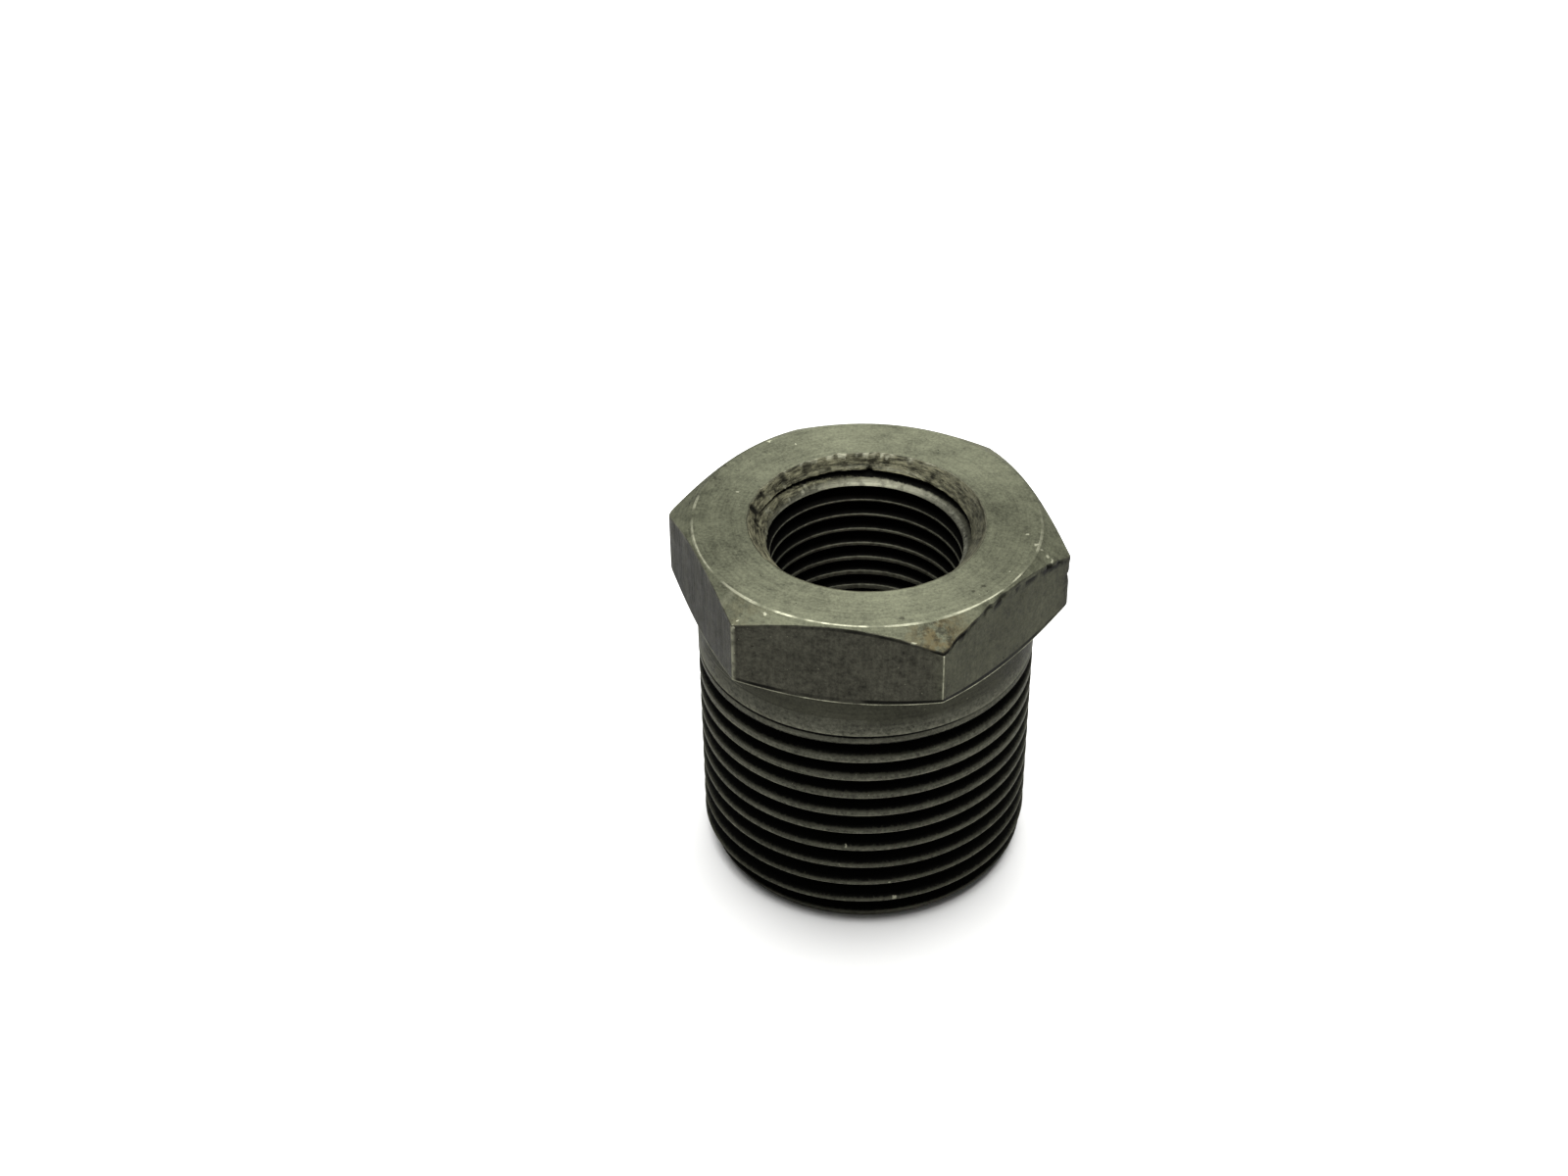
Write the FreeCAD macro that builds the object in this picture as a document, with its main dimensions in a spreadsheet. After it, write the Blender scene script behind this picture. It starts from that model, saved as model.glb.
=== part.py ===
import FreeCAD, Part
import math
import os
import re

import Sketcher

# Hex reducing bushing: one machined piece of carbon steel. It has a hexagonal head, a
# plain neck, a 3/4-14 taper pipe thread outside and a 3/8-18 taper pipe thread inside.
# Millimetres. The axis is Z, the origin is the centre of the small end, and the head
# is at the top. Two corners of the hexagon lie on the X axis.

NODE = "hex_bushing"

# Driving dimensions: alias, value, meaning. Angles are in degrees.
DIMENSIONS = [
    ("overall_length", 29.8, "small end to head face"),
    ("across_flats", 27.0, "hexagon, flat to flat"),
    ("head_height", 7.25, "head face down to the top of the neck"),
    ("head_face_diameter", 26.6, "flat of the head face, inside the chamfer"),
    ("head_chamfer_angle", 32.0, "chamfer round the head face, below horizontal"),
    ("head_under_angle", 27.0, "cone under the head, above horizontal"),
    ("neck_diameter", 26.2, "plain shank under the head"),
    ("neck_length", 3.0, "plain shank under the head"),
    ("blank_end_diameter", 26.0, "threaded shank, where the end chamfer starts"),
    ("end_chamfer_diameter", 24.0, "end chamfer, at the small end"),
    ("end_chamfer_length", 1.6, "end chamfer, along the axis"),
    ("mouth_diameter", 18.1, "countersink, at the head face"),
    ("mouth_depth", 1.95, "countersink, along the axis"),
    ("bore_diameter", 14.75, "drilled through"),
    ("tapped_diameter", 14.8, "bore at the countersink, opened a little by the tap"),
    ("tapped_depth", 14.5, "head face down to where the bore is plain"),
    ("bore_chamfer", 0.5, "edge of the bore at the small end"),
    ("half_taper", 1.789911, "half angle of the 1 in 16 pipe taper"),
    ("flank_angle", 30.0, "each flank of a thread groove"),
    ("male_pitch", 1.8143, "14 threads to the inch"),
    ("male_pitch_diameter", 24.579, "pitch cone, at the small end"),
    ("male_root_depth", 0.70, "groove's root below the pitch cone"),
    ("male_cut_height", 0.75, "cutter's top above the pitch cone"),
    ("male_start", -1.627, "middle of the lowest groove at +X, above the small end"),
    ("male_turns", 11.0, "groove of full depth"),
    ("female_pitch", 1.4111, "18 threads to the inch"),
    ("female_pitch_diameter", 15.926, "pitch cone, at the head face"),
    ("female_root_depth", 0.54, "groove's root beyond the pitch cone"),
    ("female_cut_height", 0.60, "cutter's top inside the pitch cone"),
    ("female_start", 1.199, "middle of the topmost groove at +X, above the head face"),
    ("female_turns", 10.0, "groove of full depth"),
    ("runout_angle", 36.0, "cone along which a cutter leaves the metal"),
    ("runout_turns", 0.95, "groove that gets shallower and ends"),
    ("cutter_reach", 18.0, "radius past every corner, for the turned cuts"),
]

AXIS = "0"
END = "0"
FACE = "overall_length"
NECK_TOP = "(overall_length - head_height)"

# Cubic millimetres. Each of the cuts that are checked removes more metal than this.
LEAST_CUT = 20.0

doc = FreeCAD.newDocument("HexBushing")


def make_sheet():
    sheet = doc.addObject("Spreadsheet::Sheet", "Dimensions")
    for row, (alias, value, meaning) in enumerate(DIMENSIONS, start=1):
        sheet.set(f"A{row}", meaning)
        sheet.set(f"B{row}", str(value))
        sheet.setAlias(f"B{row}", alias)
    doc.recompute()


def bound(expression):
    """The same expression with each alias read from the sheet."""
    aliases = "|".join(alias for alias, _, _ in DIMENSIONS)
    return re.sub(rf"\b({aliases})\b", r"Dimensions.\1", expression)


def add_sketch(body, name, role, corners):
    """A closed polygon on an origin plane. Each corner is (across, up), as expressions."""
    plane = next(o for o in body.Origin.OriginFeatures if o.Role == role)
    sketch = body.newObject("Sketcher::SketchObject", name)
    sketch.AttachmentSupport = [(plane, "")]
    sketch.MapMode = "FlatFace"
    count = len(corners)
    # any starting polygon will do: the bound constraints move its corners into place
    start = [
        FreeCAD.Vector(math.cos(2 * math.pi * i / count), math.sin(2 * math.pi * i / count), 0)
        for i in range(count)
    ]
    for i in range(count):
        sketch.addGeometry(Part.LineSegment(start[i], start[(i + 1) % count]))
    for i in range(count):
        sketch.addConstraint(Sketcher.Constraint("Coincident", i, 2, (i + 1) % count, 1))
    for i, (across, up) in enumerate(corners):
        for kind, expression in (("DistanceX", across), ("DistanceY", up)):
            constraint = Sketcher.Constraint(kind, -1, 1, i, 1, 1.0)
            index = sketch.addConstraint(constraint)
            sketch.setExpression(f"Constraints[{index}]", bound(expression))
    return sketch


def turn(body, kind, name, corners):
    """A profile turned about the part's axis, as an added Revolution or a cut Groove."""
    sketch = add_sketch(body, name + "Profile", "XZ_Plane", corners)
    feature = body.newObject("PartDesign::" + kind, name)
    feature.Profile = sketch
    feature.ReferenceAxis = (sketch, ["V_Axis"])
    feature.Angle = 360
    doc.recompute()
    return feature


def make_head(body):
    """The hexagonal prism, turned to a chamfer at its face and to a cone underneath."""
    corner_radius = "across_flats / 2 / cos(30)"
    corners = [
        (f"{corner_radius} * cos({angle})", f"{corner_radius} * sin({angle})")
        for angle in range(0, 360, 60)
    ]
    sketch = add_sketch(body, "HeadProfile", "XY_Plane", corners)
    sketch.setExpression("AttachmentOffset.Base.z", bound(NECK_TOP))
    pad = body.newObject("PartDesign::Pad", "Head")
    pad.Profile = sketch
    pad.setExpression("Length", bound("head_height"))
    doc.recompute()

    face_edge = "head_face_diameter / 2"
    drop = f"(cutter_reach - {face_edge}) * tan(head_chamfer_angle)"
    turn(body, "Groove", "HeadChamfer", [
        (face_edge, FACE),
        ("cutter_reach", f"{FACE} - {drop}"),
        ("cutter_reach", f"{FACE} + 1"),
        (face_edge, f"{FACE} + 1"),
    ])

    neck_edge = "neck_diameter / 2"
    rise = f"(cutter_reach - {neck_edge}) * tan(head_under_angle)"
    turn(body, "Groove", "HeadUnderside", [
        (neck_edge, NECK_TOP),
        (neck_edge, f"{NECK_TOP} - 1"),
        ("cutter_reach", f"{NECK_TOP} - 1"),
        ("cutter_reach", f"{NECK_TOP} + {rise}"),
    ])


def make_shank(body):
    """The plain neck, the nearly straight blank that takes the thread, and its chamfer."""
    turn(body, "Revolution", "Shank", [
        (AXIS, END),
        ("end_chamfer_diameter / 2", END),
        ("blank_end_diameter / 2", "end_chamfer_length"),
        ("neck_diameter / 2", f"{NECK_TOP} - neck_length"),
        ("neck_diameter / 2", NECK_TOP),
        (AXIS, NECK_TOP),
    ])


def drill_bore(body):
    """The drilled bore, right through, opened a little where it is tapped."""
    turn(body, "Groove", "Bore", [
        (AXIS, f"{FACE} + 1"),
        ("tapped_diameter / 2", f"{FACE} + 1"),
        ("tapped_diameter / 2", f"{FACE} - mouth_depth"),
        ("bore_diameter / 2", f"{FACE} - tapped_depth"),
        ("bore_diameter / 2", f"{END} - 1"),
        (AXIS, f"{END} - 1"),
    ])


def chamfer_bore(body):
    """The countersunk mouth at the head face and the broken edge at the small end."""
    turn(body, "Groove", "Mouth", [
        (AXIS, f"{FACE} + 1"),
        ("mouth_diameter / 2", f"{FACE} + 1"),
        ("mouth_diameter / 2", FACE),
        ("tapped_diameter / 2", f"{FACE} - mouth_depth"),
        (AXIS, f"{FACE} - mouth_depth"),
    ])
    turn(body, "Groove", "BoreEdge", [
        (AXIS, "bore_chamfer"),
        ("bore_diameter / 2", "bore_chamfer"),
        ("bore_diameter / 2 + bore_chamfer", END),
        ("bore_diameter / 2 + bore_chamfer", f"{END} - 1"),
        (AXIS, f"{END} - 1"),
    ])


def cut_groove(body, name, thread, start, turns, cone):
    """One stretch of a thread's helical groove, cut by a V that starts over the X axis.

    start is the height of the V's middle from the thread's own end of the part: the
    small end for the male thread, the head face for the female thread. The V's root
    points inwards on the male thread and outwards on the female thread. A negative cone
    angle runs the groove downwards.
    """
    datum, inwards, outwards = (END, "-", "+") if thread == "male" else (FACE, "+", "-")
    middle = f"{datum} + {start}"
    pitch_radius = f"{thread}_pitch_diameter / 2 + {start} * tan(half_taper)"
    root = f"{pitch_radius} {inwards} {thread}_root_depth"
    top = f"{pitch_radius} {outwards} {thread}_cut_height"
    root_half = f"({thread}_pitch / 4 - {thread}_root_depth * tan(flank_angle))"
    top_half = f"({thread}_pitch / 4 + {thread}_cut_height * tan(flank_angle))"
    sketch = add_sketch(body, name + "Profile", "XZ_Plane", [
        (root, f"{middle} - {root_half}"),
        (top, f"{middle} - {top_half}"),
        (top, f"{middle} + {top_half}"),
        (root, f"{middle} + {root_half}"),
    ])
    doc.recompute()
    groove = body.newObject("PartDesign::SubtractiveHelix", name)
    groove.Profile = sketch
    groove.ReferenceAxis = (sketch, ["V_Axis"])
    groove.Mode = "pitch-turns-angle"
    groove.Reversed = cone.startswith("-")
    groove.setExpression("Pitch", bound(f"{thread}_pitch"))
    groove.setExpression("Turns", bound(turns))
    groove.setExpression("Angle", bound(cone))
    doc.recompute()


def cut_male_thread(body):
    """Full grooves from below the small end up the shank, then a run-out on the neck."""
    finish = "(male_start + male_pitch * male_turns)"
    cut_groove(body, "MaleThread", "male", "male_start", "male_turns", "half_taper")
    cut_groove(body, "MaleRunout", "male", finish, "runout_turns", "runout_angle")


def cut_female_thread(body):
    """Full grooves from inside the bore up past the head face, and a run-out below."""
    deepest = "(female_start - female_pitch * female_turns)"
    cut_groove(body, "FemaleThread", "female", deepest, "female_turns", "half_taper")
    cut_groove(body, "FemaleRunout", "female", deepest, "runout_turns", "-runout_angle")


def make_bushing():
    body = doc.addObject("PartDesign::Body", "Bushing")
    body.Label = NODE
    make_head(body)
    make_shank(body)
    for cut in (drill_bore, cut_female_thread, chamfer_bore, cut_male_thread):
        before = body.Shape.Volume
        cut(body)
        if before - body.Shape.Volume < LEAST_CUT:
            raise RuntimeError(f"{cut.__name__} took hardly any metal away")
    return body


def check(parts):
    """Stops the build if any object failed or a part has no sound single solid."""
    for thing in doc.Objects:
        if "Invalid" in thing.State or "Error" in thing.State:
            raise RuntimeError(f"{thing.Name} failed: {thing.State}")
    for part in parts:
        shape = part.Shape
        if shape.isNull() or not shape.isValid() or len(shape.Solids) != 1:
            raise RuntimeError(f"{part.Label} isn't one valid solid")


make_sheet()
bushing = make_bushing()
bushing.Placement = FreeCAD.Placement()
doc.recompute()
check([bushing])
os.makedirs("parts", exist_ok=True)
bushing.Shape.exportStep(f"parts/{bushing.Label}.step")
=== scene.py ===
import math

import bpy
import numpy as np
from mathutils import Matrix, Vector


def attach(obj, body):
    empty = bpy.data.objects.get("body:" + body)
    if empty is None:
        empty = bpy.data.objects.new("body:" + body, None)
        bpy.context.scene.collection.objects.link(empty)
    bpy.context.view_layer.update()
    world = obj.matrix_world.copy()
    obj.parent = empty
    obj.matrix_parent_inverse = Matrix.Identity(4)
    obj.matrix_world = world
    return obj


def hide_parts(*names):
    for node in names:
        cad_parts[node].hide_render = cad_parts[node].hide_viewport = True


# The bushing's visible surface, its steel, and a plain studio.
#
# The surface is one closed skin made of columns. Each column is the outline of a half
# section of the bushing at its own azimuth, and every column has the same rows. Rows in
# the threads climb with the helix, so that the grooves' edges are edges of the mesh.
# Lengths are millimetres until the mesh is made. Azimuths are from +X, in degrees in the
# tables and in radians as phi.

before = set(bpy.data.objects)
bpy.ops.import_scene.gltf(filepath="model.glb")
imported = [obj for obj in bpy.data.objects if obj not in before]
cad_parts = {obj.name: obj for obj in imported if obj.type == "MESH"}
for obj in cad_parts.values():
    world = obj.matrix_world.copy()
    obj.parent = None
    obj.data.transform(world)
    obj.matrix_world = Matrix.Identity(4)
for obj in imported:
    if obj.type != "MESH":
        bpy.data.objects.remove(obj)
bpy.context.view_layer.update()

MM = 0.001
TURN = 2 * math.pi

# The CAD's own sizes, from the head's face down to the small end.
LENGTH = 29.8
FLAT_R = 13.5
CORNER_R = FLAT_R / math.cos(math.radians(30))
FACE_R = 13.3
MOUTH_R = 9.05
MOUTH_BOTTOM = 27.85
TAPPED_R = 7.4
TAPPED_END = 15.3
NECK_R = 13.1
NECK_TOP = 22.55
UNDER_SLOPE = math.tan(math.radians(27))
BORE_R = 7.375
BORE_EDGE_R = 7.875
BORE_EDGE = 0.5
END_R = 12.0
END_CHAMFER = 1.6
SHANK_R = 13.0
THREAD_TOP = 19.55

# Each corner of the hexagon, from +X round: how far down the chamfer comes, because it
# was cut a little off square, how much the corner is rubbed round, how bright the rub is,
# and how far it reaches each side of the corner in degrees.
CHAMFER_DROPS = (1.58, 1.48, 1.40, 1.40, 0.92, 1.50)
CORNER_RUB = (0.28, 0.12, 0.15, 0.80, 0.06, 0.08)
CORNER_WEAR = (0.40, 0.60, 0.60, 0.30, 0.85, 1.0)
WORN_WIDTH = (0.36, 0.36, 0.36, 0.36, 1.1, 0.36)

# Damage on the head's sides and round the mouth: azimuth in degrees, height, half width
# in degrees, half height, depth. A depth below 0 is a bump.
HEAD_DENTS = (
    (0.0, 28.15, 1.2, 0.28, -0.055),
    (359.6, 26.55, 1.3, 0.24, 0.20),
    (357.0, 22.9, 3.0, 0.30, 0.10),
    (352.0, 27.9, 1.0, 0.20, 0.05),
    (344.0, 27.7, 0.9, 0.18, 0.05),
    (336.5, 28.2, 1.1, 0.20, 0.06),
    (330.0, 28.4, 0.9, 0.16, 0.05),
    (323.0, 28.5, 1.2, 0.22, 0.06),
    (314.0, 28.6, 0.9, 0.18, 0.05),
    (306.5, 28.4, 1.0, 0.18, 0.05),
    (292.6, 28.9, 0.8, 0.12, 0.05),
    (241.5, 29.0, 0.8, 0.14, 0.04),
    (122.0, 26.2, 1.4, 0.35, 0.06),
    (61.0, 24.8, 1.2, 0.40, 0.08),
)
MOUTH_CHIPS = (
    (113.5, 29.70, 2.2, 0.30, 0.26),
    (94.0, 29.75, 1.6, 0.24, 0.20),
    (88.8, 29.50, 2.4, 0.30, 0.28),
    (104.0, 29.30, 3.0, 0.16, 0.12),
    (131.0, 29.55, 3.0, 0.26, 0.20),
    (139.0, 29.10, 4.0, 0.18, 0.16),
    (146.0, 29.60, 2.4, 0.28, 0.20),
    (155.0, 29.20, 3.0, 0.20, 0.18),
    (164.0, 29.60, 2.0, 0.26, 0.20),
    (177.5, 29.45, 2.8, 0.40, 0.24),
    (184.0, 28.90, 2.0, 0.30, 0.20),
    (190.0, 29.40, 2.2, 0.30, 0.16),
    (97.5, 28.80, 1.6, 0.25, 0.30),
    (150.0, 28.70, 6.0, 0.14, 0.14),
    (122.0, 28.95, 7.0, 0.12, 0.13),
    (72.0, 29.20, 6.0, 0.12, 0.12),
    (63.0, 28.80, 3.0, 0.14, 0.10),
    (222.0, 29.60, 2.4, 0.24, 0.12),
    (262.0, 29.30, 3.0, 0.20, 0.12),
    (301.0, 29.65, 2.0, 0.20, 0.10),
)

# Where round the part its marks are strongest: azimuth and half width in degrees, amount.
CORNER_RUST = ((300, 9, 0.95), (240, 8, 0.2), (62, 9, 0.3))
CHAMFER_WEAR = ((240, 12, 0.42),)
UNDER_DIRT = ((247, 8, 1.0), (291, 12, 1.0), (322, 26, 1.0))
SHOULDER_DIRT = ((282, 22, 0.5),)
# Painted shade on the face towards the front right and the back.
FACE_PAINTED_SHADE = ((322, 40, 0.10), (90, 50, 0.06))
FRONT_WEAR = ((263, 25, 1.0),)
CIRCLE_WEAR = ((263, 25, 0.8), (330, 36, 0.5), (200, 40, 0.4))
SMOOTH_MOUTH = ((0, 55, 0.6),)
# The band's painted highlight, and the rim's wear and painted highlight.
BAND_HIGHLIGHT = ((98, 52, 0.66), (180, 45, 0.25))
CREST_WEAR = ((95, 60, 0.3),)
RIM_WEAR_AND_HIGHLIGHT = ((105, 36, 1.1),)
LOWER_RIM_WEAR = ((95, 50, 0.5),)
# Darkening of the mouth's cone towards its left and right sides.
SINK_SIDE_DARKENING = ((180, 38, 0.35), (0, 45, 0.25))
# Less painted shade in the bore's grooves on the side where they catch the light.
LESS_GROOVE_SHADE = ((15, 40, 1.6),)

# About where the middles of the two flats are that look unlike the others, in degrees.
RIGHT_FLAT = 328
LEFT_FLAT = 210

# Rows of the head's side, as shares of the way from its lower edge to its upper one.
BRIGHT_ROWS = (0.019,)
DARK_ROWS = (0.030, 0.062)
FLAT_ROWS = (0.078, 0.10, 0.16, 0.24, 0.32, 0.40, 0.48, 0.56, 0.62, 0.68, 0.74, 0.80, 0.86)
TOOTH_TIP_ROW = 0.91
TOOTH_ROW = 0.945
SHOULDER_ROWS = (0.960, 0.985)

# Columns of the skin, in degrees.
COLUMN_STEP = 1.25
BESIDE_CORNER = 0.3

# The studio, in metres and watts. The camera's place and axes are the photograph's.
FLOOR_R = 0.45
CAMERA_PLACE = (0.02394834, -0.15779216, 0.14293901)
CAMERA_RIGHT = (0.98330699, 0.18166832, -0.01019695)
CAMERA_UP = (-0.10093345, 0.59123012, 0.80016210)
CAMERA_BACK = (0.15139285, -0.78577578, 0.59969712)
OVERHEAD_PLACE = (-0.02, 0.2, 0.9)
OVERHEAD_SIZE = 1.15
OVERHEAD_WATTS = 28.0


def smooth_step(x):
    x = np.clip(x, 0.0, 1.0)
    return x * x * (3 - 2 * x)


def smooth_min(a, b, blend):
    """The smaller of a and b, rounded off where they are within blend of each other."""
    h = np.clip(0.5 + 0.5 * (b - a) / blend, 0.0, 1.0)
    return b + (a - b) * h - blend * h * (1 - h)


def bell(x, middle, width):
    return np.exp(-(((x - middle) / width) ** 2))


def from_azimuth(phi, degrees):
    """Signed angle from an azimuth, in degrees from -180 to 180."""
    return (np.degrees(phi) - degrees + 180) % 360 - 180


def near(phi, degrees, width):
    """1 at an azimuth, falling to 0 over a few widths in degrees each side."""
    return bell(from_azimuth(phi, degrees), 0, width)


def amounts(phi, table):
    """What a table of azimuths, half widths and amounts adds up to."""
    return sum(amount * near(phi, azimuth, wide) for azimuth, wide, amount in table)


def hollows(phi, height, table):
    """How deep a table's damage is."""
    return sum(
        depth * near(phi, azimuth, wide) * bell(height, middle, tall)
        for azimuth, middle, wide, tall, depth in table
    )


def on_flat(phi, degrees):
    """1 on the flat whose middle is at an azimuth, and 0 past its corners."""
    return smooth_step((33 - np.abs(from_azimuth(phi, degrees))) / 6)


def noise(phi, along, cells, step, seed):
    """Smooth noise from -1 to 1: so many cells round the part, one each step along."""
    steps = 64
    table = np.random.default_rng(seed).uniform(-1, 1, (cells, steps))
    u = phi / TURN * cells + 0 * along
    v = along / step + 0 * phi
    i = np.floor(u).astype(int)
    j = np.floor(v).astype(int)
    s = smooth_step(u - i)
    t = smooth_step(v - j)
    here, after = i % cells, (i + 1) % cells
    below, above = j % steps, (j + 1) % steps
    low = table[here, below] * (1 - s) + table[after, below] * s
    high = table[here, above] * (1 - s) + table[after, above] * s
    return low * (1 - t) + high * t


def patches(phi, level, contrast, cells, seed, least=0.0):
    """Noise round the part alone, clipped to lie between least and 1."""
    return np.clip(level + contrast * noise(phi, 0 * phi, cells, 1, seed), least, 1)


class Thread:
    """The helical groove of a taper pipe thread, cut into a wall of revolution.

    side is 1 on the outside of the part and -1 in its bore. Turns are counted from start,
    the height of the groove's middle at azimuth 0, upwards on the outside and downwards in
    the bore. wall is the wall's radius against height. runout is the share of the depth
    left against the turns past the last full one, and sink is how far the groove then
    drops below its helix. The groove is painted black, as its oil and as painted shade: it
    keeps the metal's colour down to a depth given against height, and goes black over a
    further depth below that. The rows start on first_turn, go on for row_turns turns, and
    are kept between the heights first_end and last_end.
    """

    TAPER = math.tan(math.radians(1.789911))
    FLANK = math.tan(math.radians(30))

    # How far the edges are rounded, how far from an edge the rows beside it lie, and half
    # the least width that the cut and the crest keep.
    ROUND = 0.05
    LIP = 0.045
    LIP_SHARE = 0.4
    LEAST_HALF = 0.02

    # Where down a flank its rows lie, the turns that the sinking takes, and the turns that
    # can reach the first end.
    FLANK_SHARES = (0.35, 0.70)
    SINK_TURNS = 0.9
    END_TURNS = 3

    # The rows of one turn go from one groove's middle to the next. The crest's middle is
    # one of them, and the crest's two edges are the rows beside it.
    ROWS = 12
    CREST_ROW = 6
    MIDDLE_MARK = 0.75
    FAR_EDGE_MARK = 0.5
    CREST_MARKS = {CREST_ROW - 1: 1.0, CREST_ROW: MIDDLE_MARK, CREST_ROW + 1: FAR_EDGE_MARK}

    # The shallow line that the tool scribes past the last full turn, painted dark as painted
    # shade in the line.
    SCRIBED_START = 0.25
    SCRIBED_TURNS = 0.2
    SCRIBED_DEPTH = 0.015
    SCRIBED_DARK = 0.42

    def __init__(
        self, side, pitch, gauge_height, gauge_radius, depth, start, full_turns, wall,
        runout, sink, unblackened_depth, dirt_depth, first_turn, row_turns, first_end, last_end
    ):
        self.side = side
        self.pitch = pitch
        self.gauge_height = gauge_height
        self.gauge_radius = gauge_radius
        self.depth = depth
        self.start = start
        self.full_turns = full_turns
        self.wall = wall
        self.runout = runout
        self.sink = sink
        self.unblackened_depth = unblackened_depth
        self.dirt_depth = dirt_depth
        self.first_turn = first_turn
        self.row_turns = row_turns
        self.first_end = first_end
        self.last_end = last_end
        self.root_half = pitch / 4 - depth * self.FLANK

    def wall_radius(self, z):
        return np.interp(z, *zip(*self.wall))

    def middle(self, turn):
        """The height of the groove's middle."""
        late = smooth_step((turn - self.full_turns) / self.SINK_TURNS)
        return self.start + self.side * self.pitch * turn - self.sink * late

    def root_radius(self, turn):
        z = self.middle(turn)
        pitch_line = self.gauge_radius + (z - self.gauge_height) * self.TAPER
        full = pitch_line - self.side * self.depth
        left = np.interp(turn - self.full_turns, *zip(*self.runout))
        return full + (1 - left) * (self.wall_radius(z) - full)

    def edge_half(self, turn):
        """Half the groove's width where its flanks meet the wall."""
        cut = self.side * (self.wall_radius(self.middle(turn)) - self.root_radius(turn))
        least = self.root_half + self.LEAST_HALF
        widest = self.pitch / 2 - self.LEAST_HALF
        return np.clip(self.root_half + cut * self.FLANK, least, widest)

    def groove(self, z, turn):
        """The groove's own radius at a height near one of its turns."""
        off = np.maximum(np.abs(z - self.middle(turn)) - self.root_half, 0)
        return self.root_radius(turn) + self.side * off / self.FLANK

    def cut(self, z, turns):
        """The radius at a height once some turns have cut the wall, times side."""
        cut = self.side * self.wall_radius(z)
        for turn in turns:
            cut = smooth_min(cut, self.side * self.groove(z, turn), self.ROUND)
        return cut

    def turns(self, phi, count):
        """The first turns, each a value for every column."""
        return [self.first_turn + k + self.side * phi / TURN for k in range(count)]

    def first_radius(self, phi):
        """The radius at the first end, where the first groove can break out."""
        return self.side * self.cut(self.first_end, self.turns(phi, self.END_TURNS))

    def row_steps(self, turn):
        """How far past the groove's middle each row of a turn lies."""
        root = self.root_half
        here = self.edge_half(turn)
        after = self.edge_half(turn + 1)
        lip = np.minimum(self.LIP, self.LIP_SHARE * (self.pitch - here - after) / 2)
        low, high = self.FLANK_SHARES
        return [
            0 * here,
            root + 0 * here,
            root + low * (here - root),
            root + high * (here - root),
            here - lip,
            here + lip,
            (self.pitch + here - after) / 2,
            self.pitch - after - lip,
            self.pitch - after + lip,
            self.pitch - root - high * (after - root),
            self.pitch - root - low * (after - root),
            self.pitch - root + 0 * after,
        ]

    def darkness(self, phi, z, depth, past_full):
        """How black the groove is painted at a depth below the wall: its oil, and painted
        shade.
        """
        unblackened_depth = np.interp(z, *zip(*self.unblackened_depth)) * (1 + amounts(phi, LESS_GROOVE_SHADE))
        dirty = np.clip((depth - unblackened_depth) / self.dirt_depth, 0, 1)
        scribed = smooth_step((past_full - self.SCRIBED_START) / self.SCRIBED_TURNS)
        line = self.SCRIBED_DARK * scribed * smooth_step(depth / self.SCRIBED_DEPTH)
        return np.maximum(dirty, line)

    def sections(self, phi):
        """(radius, height, groove, crest) of the rows, from the first end to the last."""
        rows = []
        for turn in self.turns(phi, self.row_turns):
            gap = np.abs(self.middle(turn + 1) - self.middle(turn)) / self.pitch
            for index, step in enumerate(self.row_steps(turn)):
                z = self.middle(turn) + self.side * step * gap
                cut = self.cut(z, (turn, turn + 1))
                depth = self.side * self.wall_radius(z) - cut
                past_full = turn + (index > self.CREST_ROW) - self.full_turns
                dark = self.darkness(phi, z, depth, past_full)
                crest = self.CREST_MARKS.get(index, 0.0) + 0 * phi
                rows.append((self.side * cut, z, dark, crest))
        values = [np.array(v) for v in zip(*rows)]
        values = self.gathered(values, self.first_end, -self.side, self.first_radius(phi))
        last_radius = self.wall_radius(self.last_end)
        return self.gathered(values, self.last_end, self.side, last_radius)

    @staticmethod
    def gathered(values, end, past, end_radius):
        """Brings the rows that run past an end of the thread onto that end."""
        radius, z, dark, crest = values
        beyond = past * (z - end) >= 0
        radius = np.where(beyond, end_radius, radius)
        z = np.where(beyond, end, z)
        dark = np.where(beyond, 0.0, dark)
        crest = np.where(beyond, 0.0, crest)
        return radius, z, dark, crest


MALE = Thread(
    side=1,
    pitch=1.8143,
    gauge_height=0.0,
    gauge_radius=12.2895,
    depth=0.70,
    start=-1.627,
    full_turns=11.0,
    wall=((0.0, END_R), (END_CHAMFER, SHANK_R), (THREAD_TOP, NECK_R), (NECK_TOP, NECK_R)),
    runout=((0.0, 1.0), (0.42, 0.08), (0.78, 0.07), (0.90, -0.04)),
    sink=0.54,
    unblackened_depth=((0.0, 0.0), (LENGTH, 0.0)),
    dirt_depth=0.8,
    first_turn=-1,
    row_turns=14,
    first_end=0.0,
    last_end=20.9,
)
FEMALE = Thread(
    side=-1,
    pitch=1.4111,
    gauge_height=LENGTH,
    gauge_radius=7.963,
    depth=0.54,
    start=30.999,
    full_turns=10.0,
    wall=(
        (BORE_EDGE, BORE_R), (TAPPED_END, BORE_R), (MOUTH_BOTTOM, TAPPED_R), (LENGTH, MOUTH_R)
    ),
    runout=((0.0, 1.0), (0.8, -0.08)),
    sink=0.0,
    unblackened_depth=((27.1, 0.0), (27.7, 0.2)),
    dirt_depth=0.3,
    first_turn=0,
    row_turns=13,
    first_end=LENGTH,
    last_end=15.0,
)


def nearest_corner(phi):
    return np.round(phi / (TURN / 6)).astype(int) % 6


def round_the_part(phi, values):
    """Values given at the six corners, carried evenly round the part."""
    return np.interp(phi, np.arange(7) * TURN / 6, list(values) + [values[0]])


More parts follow.
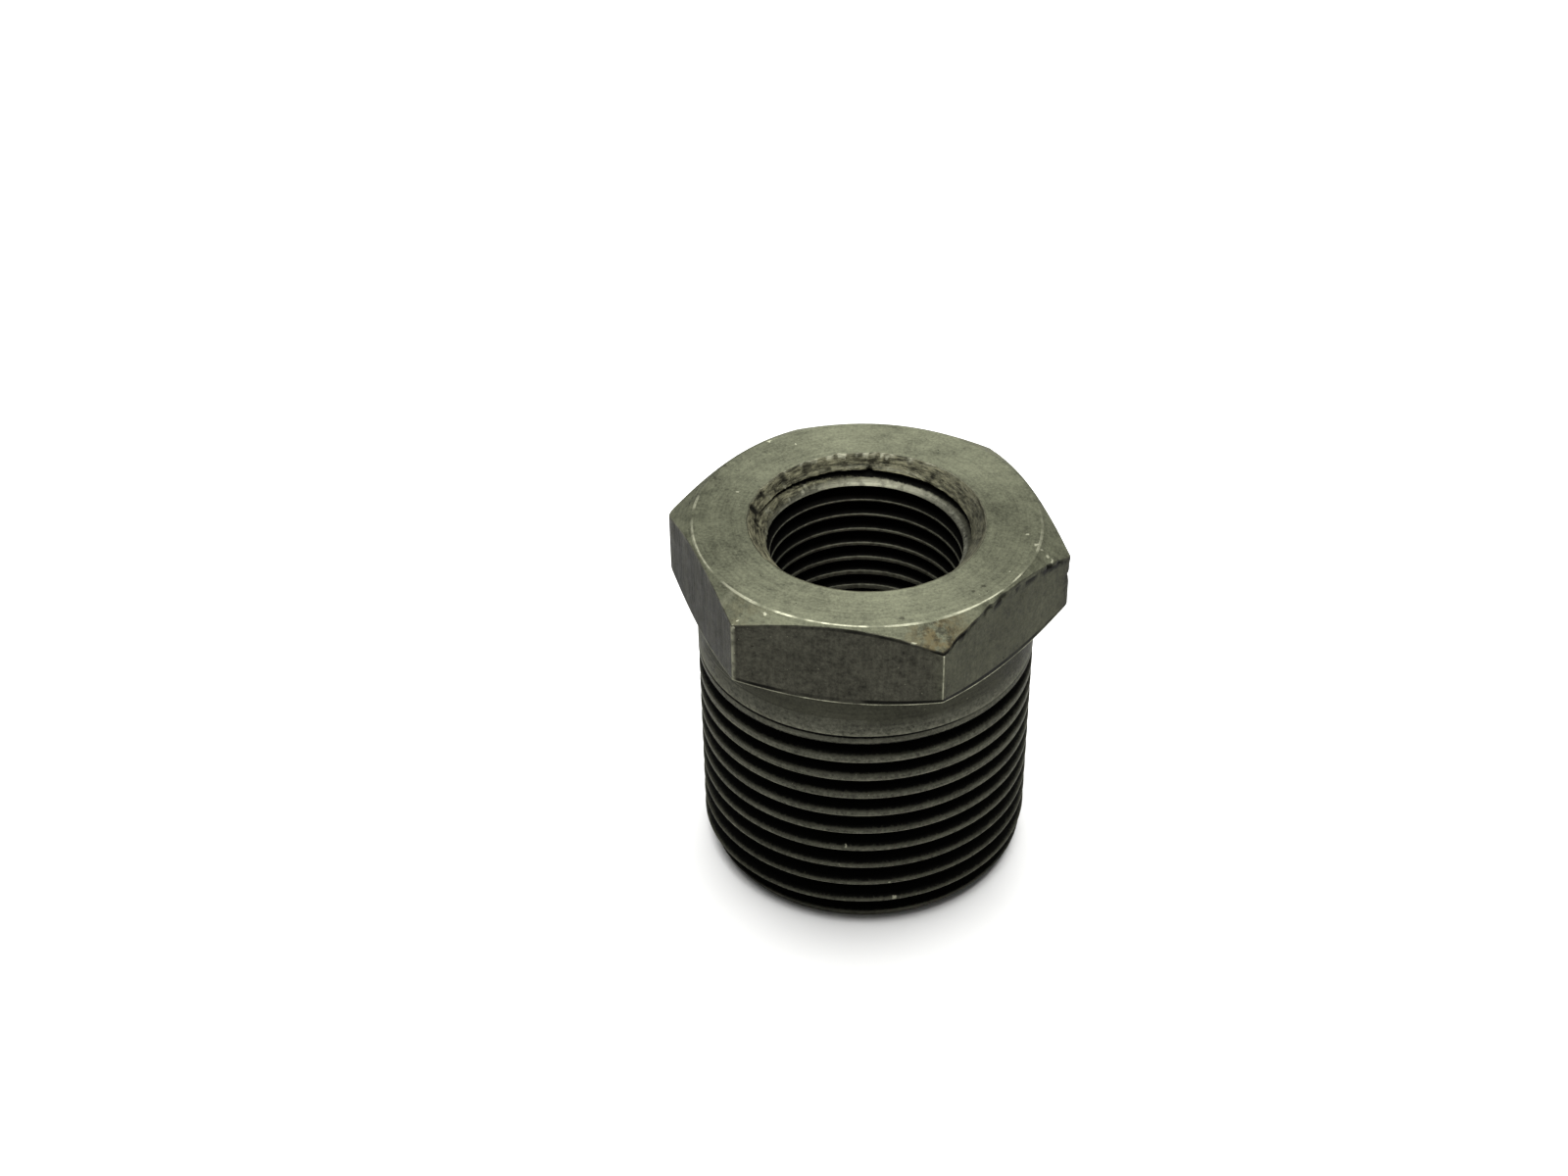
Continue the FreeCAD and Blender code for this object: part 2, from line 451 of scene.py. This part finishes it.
def hexagon_radius(phi):
    """The hexagon with its corners rubbed round."""
    off = (phi + TURN / 12) % (TURN / 6) - TURN / 12
    own_flat = FLAT_R / np.cos(TURN / 12 - np.abs(off))
    next_flat = FLAT_R / np.cos(TURN / 12 + np.abs(off))
    return smooth_min(own_flat, next_flat, np.array(CORNER_RUB)[nearest_corner(phi)])


def tearing(phi, z):
    """How far the cutter tore the mouth's cone beyond its size."""
    worst = 0.25 + 0.75 * smooth_step(1.2 - np.abs(from_azimuth(phi, 130)) / 90)
    inside = smooth_step((z - 27.9) / 0.3) * (1 - 0.6 * smooth_step((z - 29.2) / 0.5))
    rough = 0.055 * noise(phi, z, 230, 0.26, 11) + 0.05 * noise(phi, z, 70, 0.5, 12)
    return worst * inside * rough + hollows(phi, z, MOUTH_CHIPS)


class Outline:
    """Rows of the skin in order round a half section, each a value for every column."""

    KINDS = ("crest", "groove", "wear", "face", "flat", "rust", "torn", "dirt")

    def __init__(self, phi):
        self.phi = phi
        self.radius = []
        self.height = []
        self.marks = []
        self.shifts = []

    def row(self, radius, height, shift=0, **marks):
        """One row. shift is how many rows on it is joined to, after a turn round the part."""
        blank = 0 * self.phi
        self.radius.append(radius + blank)
        self.height.append(height + blank)
        self.marks.append([marks.get(kind, 0.0) + blank for kind in self.KINDS])
        self.shifts.append(shift)

    def run(self, start, end, shares, **marks):
        """Rows between two corners of the section, at shares of the way."""
        for share in shares:
            between = [a + (b - a) * share for a, b in zip(start, end)]
            self.row(*between, **marks)

    def corner(self, before, at, after, size, **marks):
        """A rubbed edge: three rows along a small curve in place of the sharp corner."""
        ends = []
        for other in (before, after):
            length = np.hypot(other[0] - at[0], other[1] - at[1])
            share = np.minimum(size / length, 0.3)
            ends.append([a + (b - a) * share for a, b in zip(at, other)])
        middle = [0.25 * a + 0.5 * b + 0.25 * c for a, b, c in zip(ends[0], at, ends[1])]
        for point in (ends[0], middle, ends[1]):
            self.row(*point, **marks)

    def thread(self, thread, damage=None, **marks):
        """A thread's rows. damage and the marks are worked out from each row's height."""
        for radius, z, dark, crest in zip(*thread.sections(self.phi)):
            if damage:
                radius = radius + damage(self.phi, z)
            here = {kind: value(z, crest) for kind, value in marks.items()}
            self.row(radius, z, thread.side * thread.ROWS, crest=crest, groove=dark, **here)


class Bushing:
    """The corners of the half section at every azimuth, and the marks between them."""

    def __init__(self, phi):
        self.phi = phi
        self.right_flat = on_flat(phi, RIGHT_FLAT)
        self.notches = self.right_flat * patches(phi, 0.25, 1.6, 150, 31)

        hexagon = hexagon_radius(phi)
        steepness = round_the_part(phi, CHAMFER_DROPS) / (CORNER_R - FACE_R)
        self.hexagon = hexagon
        self.under_edge = NECK_TOP + (hexagon - NECK_R) * UNDER_SLOPE
        self.chamfer_edge = LENGTH - (hexagon - FACE_R) * steepness
        dented = hexagon - hollows(phi, self.under_edge, HEAD_DENTS)
        notched = hexagon - hollows(phi, self.chamfer_edge, HEAD_DENTS) - 0.16 * self.notches

        flat = 0 * phi
        self.end_edge = (MALE.first_radius(phi), flat)
        self.neck_foot = (NECK_R + flat, MALE.last_end + flat)
        self.neck_top = (NECK_R + flat, NECK_TOP + flat)
        self.under = (dented, self.under_edge)
        self.shoulder = (notched, self.chamfer_edge)
        self.face_edge = (FACE_R + flat, LENGTH + flat)
        self.mouth = (MOUTH_R + tearing(phi, LENGTH), LENGTH + flat)
        self.ragged = patches(phi, 0.35, 1.3, 170, 21)
        self.patchy = patches(phi, 0.55, 0.9, 90, 22)

    def outline(self):
        outline = Outline(self.phi)
        self.add_shank(outline)
        self.add_head_side(outline)
        self.add_head_top(outline)
        self.add_mouth_and_bore(outline)
        outline.run((BORE_EDGE_R, 0.0), self.end_edge, (0.15, 0.4, 0.65, 0.9), face=1.0)
        return outline

    def add_shank(self, outline):
        outline.thread(
            MALE, wear=lambda z, crest: 1.5 * np.maximum(crest - Thread.MIDDLE_MARK, 0)
        )
        outline.run(self.neck_foot, self.neck_top, (0.3, 0.6, 0.85))
        # Painted shade in the crease where the neck meets the head's underside.
        outline.row(*self.neck_top, dirt=0.35)
        outline.run(self.neck_top, self.under, (0.06,), dirt=0.3)
        outline.run(self.neck_top, self.under, (0.25, 0.6, 0.93))

    def add_head_side(self, outline):
        phi = self.phi
        corner = nearest_corner(phi)
        to_corner = np.abs((np.degrees(phi) + 30) % 60 - 30)
        reach = np.clip(1 - to_corner / np.array(WORN_WIDTH)[corner], 0, 1)
        edge_wear = np.array(CORNER_WEAR)[corner] * reach
        under_dirt = np.clip(0.5 * self.patchy + amounts(phi, UNDER_DIRT), 0, 1)
        # Darkens the left flat in blotches.
        left_flat_darkening = on_flat(phi, LEFT_FLAT) * (0.3 + 0.3 * self.ragged)
        teeth = self.right_flat * patches(phi, 0.45, 1.5, 260, 33)
        below = (self.under, self.shoulder)
        side = {"flat": 1 - 0.5 * self.right_flat, "face": self.right_flat}

        outline.corner(
            self.neck_top, self.under, self.shoulder, 0.09,
            wear=0.5 + 0.5 * self.patchy, **side
        )
        outline.run(*below, BRIGHT_ROWS, wear=np.maximum(edge_wear, 0.2), **side)
        outline.run(*below, DARK_ROWS, wear=edge_wear, dirt=under_dirt, **side)
        for share in (*FLAT_ROWS, TOOTH_TIP_ROW, TOOTH_ROW):
            z = self.under_edge + (self.chamfer_edge - self.under_edge) * share
            dent = hollows(phi, z, HEAD_DENTS)
            # Painted shade in the dents, darker where they are deeper.
            dirt = left_flat_darkening + np.clip(4 * dent, 0, 0.8)
            if share == TOOTH_TIP_ROW:
                dirt = np.maximum(dirt, 0.8 * teeth**2)
            elif share == TOOTH_ROW:
                dirt = np.maximum(dirt, teeth)
            outline.row(self.hexagon - dent, z, wear=edge_wear, dirt=dirt, **side)
        dirt = 1.1 * self.shoulder_dirt()
        outline.run(*below, SHOULDER_ROWS, wear=edge_wear, dirt=dirt, **side)

    def shoulder_dirt(self):
        # Painted shade in the shoulder's notches.
        in_notches = 0.6 * self.right_flat * smooth_step(self.notches / 0.3)
        return 0.35 * self.ragged + in_notches + amounts(self.phi, SHOULDER_DIRT)

    def add_head_top(self, outline):
        phi = self.phi
        rust = amounts(phi, CORNER_RUST)
        shoulder_wear = 0.4 * self.patchy * (1 - self.right_flat)
        circle_wear = (0.2 + amounts(phi, CIRCLE_WEAR)) * patches(phi, 0.7, 1.0, 60, 23, 0.35)
        chamfer_wear = amounts(phi, CHAMFER_WEAR) * self.patchy
        front_wear = 0.3 * amounts(phi, FRONT_WEAR)
        # Painted shade on parts of the face.
        dirt = amounts(phi, FACE_PAINTED_SHADE)

        outline.corner(
            self.under, self.shoulder, self.face_edge, 0.05, flat=0.5, face=0.5,
            rust=rust, wear=shoulder_wear, dirt=0.4 * self.shoulder_dirt()
        )
        outline.run(
            self.shoulder, self.face_edge, (0.04, 0.35, 0.65, 0.93), face=1.0,
            rust=rust, wear=chamfer_wear
        )
        outline.corner(
            self.shoulder, self.face_edge, self.mouth, 0.10, face=1.0, wear=circle_wear
        )
        outline.run(self.face_edge, self.mouth, (0.04,), face=1.0, wear=front_wear)
        outline.run(
            self.face_edge, self.mouth, (0.065, 0.2, 0.4, 0.6, 0.8, 0.92, 0.98), face=1.0,
            dirt=dirt
        )

    def mouth_torn(self, z, crest):
        return (1 - amounts(self.phi, SMOOTH_MOUTH)) * smooth_step((z - 28.0) / 0.35)

    def mouth_wear(self, z, crest):
        """Bright crests, a painted highlight on the band below the torn cone where it faces up
        into the light, the rim's wear and painted highlight, and the cone's bumps.
        """
        phi = self.phi
        crests = (0.35 + amounts(phi, CREST_WEAR)) * crest * (z < 27.4)
        # Painted highlight on the band that faces up into the light.
        band = amounts(phi, BAND_HIGHLIGHT) * bell(z, 27.9, 0.42)
        # The rim: wear, with a painted highlight.
        rim = 0.35 + amounts(phi, RIM_WEAR_AND_HIGHLIGHT) * self.ragged
        rim = rim * smooth_step((z - 29.68) / 0.12)
        lower_rim = amounts(phi, LOWER_RIM_WEAR) * (crest == Thread.FAR_EDGE_MARK) * (z > 28.3)
        bumps = 0.5 * smooth_step((-tearing(phi, z) - 0.015) / 0.04)
        return crests + band + rim + lower_rim + bumps

    def mouth_dirt(self, z, crest):
        """Painted shade in the cone's tears and hollows, and a darkening towards its two
        sides.
        """
        tears = 0.8 * smooth_step((tearing(self.phi, z) - 0.04) / 0.12) * (z < 29.79)
        in_cone = smooth_step((z - 28.0) / 0.3) * smooth_step((29.75 - z) / 0.2)
        return tears + amounts(self.phi, SINK_SIDE_DARKENING) * in_cone

    def add_mouth_and_bore(self, outline):
        outline.thread(
            FEMALE, tearing, torn=self.mouth_torn, wear=self.mouth_wear, dirt=self.mouth_dirt
        )
        for height in (12.0, 8.0, 4.0, 1.0):
            outline.row(FEMALE.wall_radius(height), height)
        outline.row(FEMALE.wall_radius(BORE_EDGE), BORE_EDGE, wear=0.4)
        outline.row(BORE_EDGE_R, 0.0, wear=0.4)


def columns():
    """Azimuths of the columns, with an extra one each side of every corner."""
    even = np.arange(0, 360, COLUMN_STEP)
    beside = [c + s * BESIDE_CORNER for c in range(0, 360, 60) for s in (-1, 1)]
    return np.radians(np.unique(np.concatenate([even, np.array(beside) % 360])))


def joined_rows(shifts, count):
    """For each row and column, the row of the next column that it is joined to.

    Where the last column joins the first, a thread's rows have moved on by one turn.
    """
    rows = len(shifts)
    across = np.tile(np.arange(rows)[:, None], (1, count))
    last = np.arange(rows) + shifts
    for sign in (1, -1):
        block = np.flatnonzero(np.sign(shifts) == sign)
        last[block] = np.clip(last[block], block[0], block[-1])
    across[:, -1] = last
    return across


def skin_faces(index, across):
    """Faces between neighbouring columns, without the corners that fall together."""
    rows, count = index.shape
    above = np.roll(np.arange(rows), -1)
    beside = np.roll(np.arange(count), -1)[None, :]
    quads = np.stack(
        [index, index[across, beside], index[across[above], beside], index[above]], axis=-1
    )
    faces = []
    for quad in quads.reshape(-1, 4).tolist():
        ring = [v for n, v in enumerate(quad) if v != quad[n - 1]]
        if len(set(ring)) == len(ring) > 2:
            faces.append(ring)
    return faces


def skin(outline):
    """Points, faces and marks of the closed skin.

    Rows that meet at one point of a column share its vertex.
    """
    radius = np.array(outline.radius)
    height = np.array(outline.height)
    rows, count = radius.shape
    same = (np.diff(radius, axis=0) == 0) & (np.diff(height, axis=0) == 0)
    fresh = np.vstack([np.ones((1, count), bool), ~same])
    index = np.cumsum(fresh.T.ravel()).reshape(count, rows).T - 1
    faces = skin_faces(index, joined_rows(np.array(outline.shifts), count))

    azimuth = np.tile(outline.phi, (rows, 1))
    x = radius * np.cos(azimuth)
    y = radius * np.sin(azimuth)
    points = np.stack([x, y, height], axis=-1).transpose(1, 0, 2)[fresh.T] * MM
    marks = np.array(outline.marks).transpose(2, 0, 1)[fresh.T]
    return points, faces, marks


def make_bushing(material):
    points, faces, marks = skin(Bushing(columns()).outline())
    mesh = bpy.data.meshes.new("hex_bushing_skin")
    mesh.from_pydata(points.tolist(), [], faces)
    for kind, values in zip(Outline.KINDS, marks.T):
        attribute = mesh.attributes.new(kind, "FLOAT", "POINT")
        attribute.data.foreach_set("value", np.ascontiguousarray(values, np.float32))
    mesh.polygons.foreach_set("use_smooth", np.ones(len(mesh.polygons), bool))
    mesh.set_sharp_from_angle(angle=math.radians(32))
    mesh.materials.append(material)
    mesh.validate()
    piece = bpy.data.objects.new("hex_bushing_steel", mesh)
    bpy.context.scene.collection.objects.link(piece)
    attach(piece, "root")
    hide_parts("hex_bushing")


class Nodes:
    """Short ways to add the nodes of a tree and join them."""

    def __init__(self, tree):
        self.tree = tree

    def add(self, kind, inputs, output=0, **settings):
        node = self.tree.nodes.new(kind)
        for name, value in settings.items():
            setattr(node, name, value)
        for socket, value in inputs.items():
            self.feed(node.inputs[socket], value)
        return node.outputs[output]

    def feed(self, socket, value):
        if isinstance(value, bpy.types.NodeSocket):
            self.tree.links.new(value, socket)
        elif socket.type == "RGBA":
            socket.default_value = (*value, 1.0)
        else:
            socket.default_value = value

    def math(self, operation, a, b=0.0, c=0.0):
        return self.add("ShaderNodeMath", {0: a, 1: b, 2: c}, operation=operation)

    def times(self, a, b):
        return self.math("MULTIPLY", a, b)

    def total(self, *parts):
        """Sum of value times weight."""
        out = 0.0
        for value, weight in parts:
            out = self.math("MULTIPLY_ADD", value, weight, out)
        return out

    def mask(self, kind):
        return self.add("ShaderNodeAttribute", {}, "Fac", attribute_name=kind)

    def ramp(self, value, low, high, start=0.0, end=1.0):
        """Goes smoothly from start to end while value goes from low to high."""
        inputs = {0: value, 1: low, 2: high, 3: start, 4: end}
        return self.add("ShaderNodeMapRange", inputs, interpolation_type="SMOOTHSTEP")

    def noise(self, place, scale, detail, roughness, across=None):
        """Noise in three dimensions, or in four if across is given."""
        inputs = {"Vector": place, "Scale": scale, "Detail": detail, "Roughness": roughness}
        if across is None:
            return self.add("ShaderNodeTexNoise", inputs)
        inputs["W"] = across
        return self.add("ShaderNodeTexNoise", inputs, noise_dimensions="4D")

    def vector(self, x, y, z):
        return self.add("ShaderNodeCombineXYZ", {0: x, 1: y, 2: z})

    def split(self, vector):
        node = self.tree.nodes.new("ShaderNodeSeparateXYZ")
        self.feed(node.inputs[0], vector)
        return node.outputs

    def vector_math(self, operation, inputs, output=0):
        return self.add("ShaderNodeVectorMath", inputs, output, operation=operation)

    def mix(self, factor, a, b):
        inputs = {"Factor": factor, 6: a, 7: b}
        return self.add("ShaderNodeMix", inputs, 2, data_type="RGBA")


# Colours as linear light.
FACE_COLOR = (0.078, 0.081, 0.054)
FLAT_COLOR = (0.047, 0.046, 0.035)
TURNED_COLOR = (0.040, 0.040, 0.029)
CREST_COLOR = (0.074, 0.074, 0.057)
# The grooves' black: their oil, and painted shade.
GROOVE_OIL_AND_SHADE_COLOR = (0.0012, 0.0012, 0.001)
TORN_COLOR = (0.082, 0.079, 0.050)
RUST_COLOR = (0.084, 0.068, 0.034)
BRIGHT_COLOR = (0.34, 0.34, 0.25)
PIT_COLOR = (0.014, 0.013, 0.009)
# Dirt, and painted shade in the neck's crease, the dents, notches and tears, and on parts of
# the face.
DIRT_AND_SHADE_COLOR = (0.004, 0.004, 0.003)
SPECULAR_TINT = (0.3, 0.3, 0.25, 1)
PAPER_COLOR = (0.70, 0.70, 0.69, 1)
WHITE = (1, 1, 1, 1)

# Noises in the steel: cells to the millimetre, detail, roughness.
STEEL_NOISES = {
    "cloud": (0.22, 3.0, 0.5),
    "mottle": (0.95, 5.0, 0.62),
    "wear": (1.5, 4.0, 0.6),
    "smudge": (1.7, 5.0, 0.72),
    "pits": (1.9, 3.0, 0.6),
    "crest": (3.2, 5.0, 0.75),
    "fine": (4.2, 4.0, 0.7),
    "specks": (5.5, 1.0, 0.5),
}

# How much each noise takes part in the tone, the roughness and the height of the surface.
TONE_SHARES = {"cloud": 0.9, "mottle": 1.2, "fine": 1.7, "grain": 0.9}
TONE_BASE = -1.35
CREST_CONTRAST = 4.2
FLAT_CONTRAST = 2.4
LEAST_TONE = 0.15
ROUGHNESS_SHARES = {"mottle": 0.35, "fine": 0.15}
TORN_ROUGHNESS = 0.15
ROUGHNESS_BASE = 0.25
HEIGHT_SHARES = {"grain": 0.020, "fine": 0.012, "mottle": 0.01}
PIT_DEPTH = 0.03
TORN_HEIGHT = 0.22

# Small marks on the surface, each x, y, z and reach in millimetres.
BRIGHT_SPOTS = (
    (-7.43, -13.13, 29.08, 0.13),
    (-7.65, -13.40, 28.75, 0.20),
    (-9.30, 9.30, 29.8, 0.20),
    (-7.15, 9.30, 29.8, 0.13),
    (-10.43, 1.98, 29.8, 0.14),
    (12.25, 0.20, 29.8, 0.16),
    (13.05, -1.08, 29.8, 0.22),
    (13.46, -1.42, 29.64, 0.20),
    (13.95, -1.69, 29.30, 0.20),
    (14.30, -1.85, 29.04, 0.20),
    (11.47, -4.72, 29.8, 0.13),
    (5.60, -13.47, 28.99, 0.20),
    (-5.50, -12.57, 29.62, 0.16),
    (4.02, -12.50, 4.35, 0.20),
    (4.40, -12.20, 2.70, 0.22),
    (0.60, -12.90, 8.20, 0.18),
    (-3.52, 8.40, 29.70, 0.24),
    (0.21, 8.95, 29.62, 0.26),
    (-7.60, -13.40, 26.40, 0.12),
)
DARK_SPOTS = (
    (4.47, -11.70, 29.8, 0.34),
    (9.70, -6.86, 29.8, 0.30),
    (9.10, -7.60, 29.8, 0.22),
    (-10.9, -8.3, 25.2, 0.30),
)


class Steel:
    """Dark oiled steel, turned or drawn or torn where the skin's marks say so."""

    def __init__(self):
        self.material = bpy.data.materials.new("oiled_steel")
        self.material.use_nodes = True
        self.nodes = nodes = Nodes(self.material.node_tree)
        place = nodes.add("ShaderNodeTexCoord", {}, "Object")
        self.place = nodes.vector_math("SCALE", {0: place, "Scale": 1 / MM})
        self.x, self.y, self.z = nodes.split(self.place)
        self.radius = nodes.math("SQRT", nodes.total((self.x, self.x), (self.y, self.y)))
        self.cosine = nodes.math("DIVIDE", self.x, self.radius)
        self.sine = nodes.math("DIVIDE", self.y, self.radius)
        self.marks = {kind: nodes.mask(kind) for kind in Outline.KINDS}
        self.noises = {
            name: nodes.noise(self.place, *values) for name, values in STEEL_NOISES.items()
        }
        self.noises["grain"] = self.grain()
        self.torn_grain = self.cut_marks(4.0, 8.0, 4.0, 0.72)
        self.pits = nodes.ramp(self.noises["pits"], low=0.70, high=0.76)

    def cut_marks(self, fineness, shortness, detail, roughness):
        """Noise drawn out along the way a tool goes round the part."""
        nodes = self.nodes
        place = nodes.vector(
            nodes.times(self.radius, fineness),
            nodes.times(self.z, fineness),
            nodes.times(self.cosine, shortness),
        )
        across = nodes.times(self.sine, shortness)
        return nodes.noise(place, 1.0, detail, roughness, across)

    def grain(self):
        """Rings where the steel was turned, and streaks along the flats of drawn bar."""
        nodes = self.nodes
        rings = self.cut_marks(4.5, 1.6, 3.0, 0.7)
        along = nodes.vector(
            nodes.times(self.x, 4.0), nodes.times(self.y, 4.0), nodes.times(self.z, 0.35)
        )
        streaks = nodes.noise(along, 1.0, 3.0, 0.65)
        return nodes.add("ShaderNodeMix", {0: self.marks["flat"], 2: rings, 3: streaks})

    def shares(self, table):
        return [(self.noises[name], share) for name, share in table.items()]

    def centred(self, name):
        return self.nodes.math("SUBTRACT", self.noises[name], 0.5)

    def metal_color(self):
        """The clean metal's colour, with its tone, rust and torn patches."""
        nodes, marks = self.nodes, self.marks
        color = nodes.mix(marks["face"], TURNED_COLOR, FACE_COLOR)
        color = nodes.mix(marks["flat"], color, FLAT_COLOR)
        color = nodes.mix(marks["crest"], color, CREST_COLOR)

        smudge = self.centred("smudge")
        tone = nodes.total(*self.shares(TONE_SHARES), (1.0, TONE_BASE))
        tone = nodes.total(
            (tone, 1.0),
            (nodes.times(marks["crest"], self.centred("crest")), CREST_CONTRAST),
            (nodes.times(marks["flat"], smudge), FLAT_CONTRAST),
        )
        tone = nodes.math("MAXIMUM", tone, LEAST_TONE)
        color = nodes.vector_math("SCALE", {0: color, "Scale": tone})

        rusty = nodes.ramp(self.noises["mottle"], low=0.40, high=0.60)
        grimy = nodes.ramp(smudge, low=-0.06, high=0.12, end=0.75)
        color = nodes.mix(nodes.times(marks["rust"], rusty), color, RUST_COLOR)
        color = nodes.mix(nodes.times(marks["rust"], grimy), color, PIT_COLOR)

        torn_tone = nodes.ramp(self.torn_grain, low=0.36, high=0.66, start=0.2, end=2.3)
        torn_color = nodes.vector_math("SCALE", {0: TORN_COLOR, "Scale": torn_tone})
        return nodes.mix(marks["torn"], color, torn_color)

    def marked_color(self):
        """The metal's colour with its pits, specks, wear and painted highlights, dirt and
        painted shade, the grooves' oil and painted shade, and the small spots.
        """
        nodes, marks = self.nodes, self.marks
        specks = nodes.ramp(self.noises["specks"], low=0.77, high=0.82, end=0.5)
        # Wear, and painted highlights on the mouth's upward band and its rim.
        wear_patch = nodes.ramp(self.noises["wear"], low=0.34, high=0.58, start=0.35)
        wear = nodes.times(nodes.ramp(marks["wear"], low=0.10, high=1.0), wear_patch)
        ragged = nodes.ramp(self.noises["fine"], low=0.3, high=0.7, start=0.6, end=1.5)
        # The grooves' oil and painted shade, with a ragged edge.
        groove = nodes.ramp(nodes.times(marks["groove"], ragged), low=0.03, high=0.30)
        color = self.metal_color()
        for share, paint in (
            (self.pits, PIT_COLOR),
            (specks, BRIGHT_COLOR),
            (wear, BRIGHT_COLOR),
            (marks["dirt"], DIRT_AND_SHADE_COLOR),
            (groove, GROOVE_OIL_AND_SHADE_COLOR),
        ):
            color = nodes.mix(share, color, paint)
        return self.spotted(color)

    def spotted(self, color):
        """The small marks, with their outlines made ragged by noise."""
        nodes = self.nodes
        inputs = {"Vector": self.place, "Scale": 3.5, "Detail": 2.0}
        ragged = nodes.add("ShaderNodeTexNoise", inputs, "Color")
        ragged = nodes.vector_math("SUBTRACT", {0: ragged, 1: (0.5, 0.5, 0.5)})
        ragged = nodes.vector_math("SCALE", {0: ragged, "Scale": 0.5})
        place = nodes.vector_math("ADD", {0: ragged, 1: self.place})
        for spots, paint in ((BRIGHT_SPOTS, BRIGHT_COLOR), (DARK_SPOTS, PIT_COLOR)):
            for *middle, reach in spots:
                gap = nodes.vector_math("DISTANCE", {0: place, 1: tuple(middle)}, "Value")
                share = nodes.ramp(gap, low=0.4 * reach, high=reach, start=0.7, end=0.0)
                color = nodes.mix(share, color, paint)
        return color

    def make_material(self):
        nodes = self.nodes
        shader = self.material.node_tree.nodes["Principled BSDF"]
        nodes.feed(shader.inputs["Base Color"], self.marked_color())
        shader.inputs["Metallic"].default_value = 0.5
        shader.inputs["Specular IOR Level"].default_value = 0.2
        shader.inputs["Specular Tint"].default_value = SPECULAR_TINT
        shader.inputs["Anisotropic"].default_value = 0.8
        shader.inputs["Anisotropic Rotation"].default_value = 0.25
        tangent = nodes.add("ShaderNodeTangent", {}, direction_type="RADIAL", axis="Z")
        nodes.feed(shader.inputs["Tangent"], tangent)
        roughness = nodes.total(
            *self.shares(ROUGHNESS_SHARES),
            (self.marks["torn"], TORN_ROUGHNESS),
            (1.0, ROUGHNESS_BASE),
        )
        nodes.feed(shader.inputs["Roughness"], roughness)
        height = nodes.total(
            *self.shares(HEIGHT_SHARES),
            (self.pits, -PIT_DEPTH),
            (nodes.times(self.marks["torn"], self.torn_grain), TORN_HEIGHT),
        )
        bump = nodes.add("ShaderNodeBump", {"Height": height, "Distance": MM, "Strength": 1.0})
        nodes.feed(shader.inputs["Normal"], bump)
        return self.material


def make_floor():
    """A round sheet of white paper. Past its edge the camera sees the white world."""
    mesh = bpy.data.meshes.new("floor")
    angles = np.linspace(0, TURN, 96, endpoint=False)
    rim = [(FLOOR_R * math.cos(a), FLOOR_R * math.sin(a), 0) for a in angles]
    mesh.from_pydata(rim, [], [tuple(range(len(rim)))])
    paper = bpy.data.materials.new("white_paper")
    paper.use_nodes = True
    shader = paper.node_tree.nodes["Principled BSDF"]
    shader.inputs["Base Color"].default_value = PAPER_COLOR
    shader.inputs["Roughness"].default_value = 0.9
    mesh.materials.append(paper)
    floor = bpy.data.objects.new("floor", mesh)
    bpy.context.scene.collection.objects.link(floor)


def make_overhead_light():
    """One large soft light, a little behind the part and aimed at its foot."""
    data = bpy.data.lights.new("overhead", "AREA")
    data.shape = "DISK"
    data.size = OVERHEAD_SIZE
    data.energy = OVERHEAD_WATTS
    light = bpy.data.objects.new("overhead", data)
    bpy.context.scene.collection.objects.link(light)
    light.location = OVERHEAD_PLACE
    light.rotation_euler = (-Vector(OVERHEAD_PLACE)).to_track_quat("-Z", "Y").to_euler()


def make_world():
    """Dim at the horizon and brighter overhead, but plain white to the camera."""
    world = bpy.data.worlds.new("studio")
    bpy.context.scene.world = world
    world.use_nodes = True
    nodes = Nodes(world.node_tree)
    direction = nodes.split(nodes.add("ShaderNodeTexCoord", {}, "Generated"))
    glow = nodes.ramp(direction["Z"], low=0.2, high=0.9, start=0.04, end=0.4)
    seen = nodes.add("ShaderNodeLightPath", {}, "Is Camera Ray")
    background = world.node_tree.nodes["Background"]
    background.inputs["Color"].default_value = WHITE
    nodes.feed(background.inputs["Strength"], nodes.math("MAXIMUM", glow, seen))


def make_camera():
    """The photograph's own viewpoint: about 37 degrees above the floor."""
    data = bpy.data.cameras.new("camera")
    data.lens = 59.156
    data.sensor_width = 36.0
    data.clip_start = 0.01
    camera = bpy.data.objects.new("camera", data)
    bpy.context.scene.collection.objects.link(camera)
    turned = Matrix((CAMERA_RIGHT, CAMERA_UP, CAMERA_BACK)).transposed().to_4x4()
    turned.translation = CAMERA_PLACE
    camera.matrix_world = turned
    bpy.context.scene.camera = camera


make_bushing(Steel().make_material())
make_floor()
make_overhead_light()
make_world()
make_camera()
bpy.context.scene.view_settings.view_transform = "Standard"
